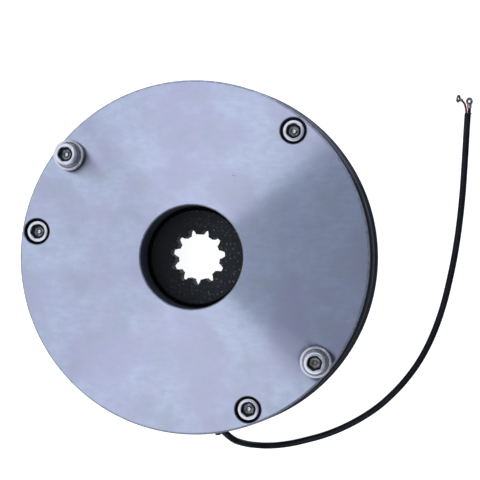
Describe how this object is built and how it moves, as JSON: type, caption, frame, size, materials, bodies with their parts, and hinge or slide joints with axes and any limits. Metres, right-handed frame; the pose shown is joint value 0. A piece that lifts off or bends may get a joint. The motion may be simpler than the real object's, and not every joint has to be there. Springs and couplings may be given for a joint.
{
  "type": "spring-applied electric brake",
  "caption": "Round flat spring-applied brake: a coil pulls the armature off a splined friction rotor, and a two-core lead leaves its side.",
  "frame": {"origin": "centre of the flange plate's underside, on the rotor's axis", "axes": "+Z along the rotor's axis, from the flange plate towards the magnet body's face; +X towards the side that the lead ends on"},
  "size_m": [0.223, 0.1846, 0.05],
  "materials": {
    "turned_steel": "face turned, bright zinc with a blue cast",
    "plate_steel": "ground",
    "rotor_black": "moulded, with light specks",
    "lining": "ground friction compound",
    "bobbin_nylon": "moulded",
    "enamelled_copper": "enamelled winding",
    "potting_resin": "cast",
    "spring_steel": "drawn wire",
    "plated_steel": "bright nickel plate",
    "seal_rubber": "moulded, matt",
    "black_pvc": "extruded",
    "red_pvc": "extruded",
    "tinned_copper": "tinned"
  },
  "bodies": {
    "stator": {"magnet_body": "turned_steel", "flange_plate": "plate_steel", "coil_bobbin": "bobbin_nylon", "coil_winding": "enamelled_copper", "coil_potting": "potting_resin", "thrust_springs": "spring_steel", "gap_sleeves": "plated_steel", "mounting_screws": "plated_steel", "release_collars": "plated_steel", "dust_seal": "seal_rubber", "lead_grommet": "seal_rubber", "lead_sheath": "black_pvc", "red_wire": "red_pvc", "black_wire": "black_pvc", "red_eyelet": "tinned_copper", "black_eyelet": "tinned_copper"},
    "armature": {"armature_plate": "plate_steel"},
    "rotor": {"rotor_hub": "rotor_black", "upper_lining": "lining", "lower_lining": "lining"},
    "release_left": {"release_screw_left": "plated_steel"},
    "release_right": {"release_screw_right": "plated_steel"}
  },
  "joints": [
    {"name": "armature_travel", "type": "slide", "parent": "stator", "child": "armature", "axis": [0, 0, 1], "range_m": [0, 0.0004], "stiffness_N_per_m": 10000, "springref_m": -0.002, "deforming": ["thrust_springs"]},
    {"name": "rotor_spin", "type": "hinge", "parent": "stator", "child": "rotor", "pos_m": [0, 0, 0.0184], "axis": [0, 0, 1], "continuous": true},
    {"name": "release_left_turn", "type": "hinge", "parent": "armature", "child": "release_left", "pos_m": [-0.0598, 0.0493, 0.03], "axis": [0, 0, 1], "range_deg": [-504, 0]},
    {"name": "release_right_turn", "type": "hinge", "parent": "armature", "child": "release_right", "pos_m": [0.0598, -0.0493, 0.03], "axis": [0, 0, 1], "range_deg": [-504, 0]}
  ]
}
